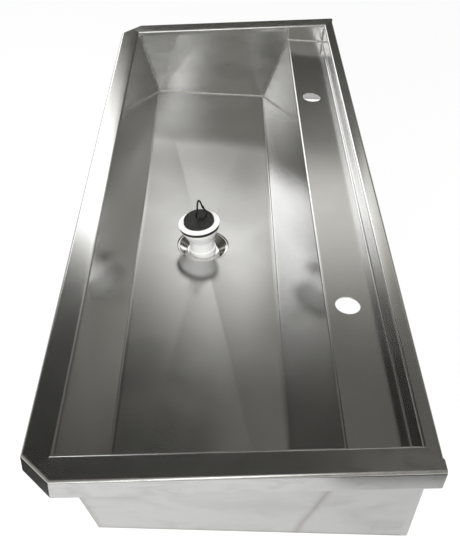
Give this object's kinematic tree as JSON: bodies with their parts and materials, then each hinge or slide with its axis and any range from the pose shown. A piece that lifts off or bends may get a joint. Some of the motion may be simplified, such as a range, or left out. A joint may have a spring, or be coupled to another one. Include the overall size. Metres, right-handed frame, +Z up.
{
  "type": "trough sink",
  "caption": "Wall-hung stainless trough sink with cut front corners, recessed tap ledge, creased base and round drain dish, with a loose plastic plug waste standing in the outlet.",
  "frame": {"origin": "on the wall plane, at the middle of the rectangle of the four wall fixing holes", "axes": "+X along the trough towards its right end as seen from the front, +Y into the wall, -Y towards the user, +Z up"},
  "size_m": [1.2, 0.46, 0.1982],
  "materials": {
    "stainless": "satin",
    "polished_steel": "polished",
    "screw_steel": "plain",
    "white_plastic": "gloss",
    "black_rubber": "matt",
    "black_wire": "plastic-coated wire"
  },
  "bodies": {
    "trough": {"front_rim": "stainless", "right_rim": "stainless", "left_rim": "stainless", "right_corner_apron": "stainless", "left_corner_apron": "stainless", "rear_rim": "stainless", "front_wall": "stainless", "back_wall": "stainless", "tap_ledge": "stainless", "ledge_riser": "stainless", "basin_base": "stainless", "drain_dish": "polished_steel", "right_end_plate": "stainless", "left_end_plate": "stainless", "right_ledge_end": "stainless", "left_ledge_end": "stainless", "right_wall_flange": "stainless", "left_wall_flange": "stainless", "right_welds": "stainless", "left_welds": "stainless"},
    "waste": {"waste_cup": "white_plastic", "waste_nut": "screw_steel", "waste_screw": "screw_steel", "waste_seal": "black_rubber", "waste_flange": "white_plastic"},
    "plug": {"plug": "black_rubber", "plug_eye": "black_rubber"},
    "ring": {"plug_ring": "black_wire"}
  },
  "joints": [
    {"name": "waste_lift", "type": "slide", "parent": "trough", "child": "waste", "axis": [0, 0, 1], "range_m": [0, 0.25]},
    {"name": "plug_lift", "type": "slide", "parent": "waste", "child": "plug", "axis": [0, -0.144, 0.9896], "range_m": [0, 0.15]},
    {"name": "ring_swing", "type": "hinge", "parent": "plug", "child": "ring", "pos_m": [0.0007, -0.27578, -0.01743], "axis": [0, 0.9896, 0.144], "range_deg": [-90, 90]}
  ]
}
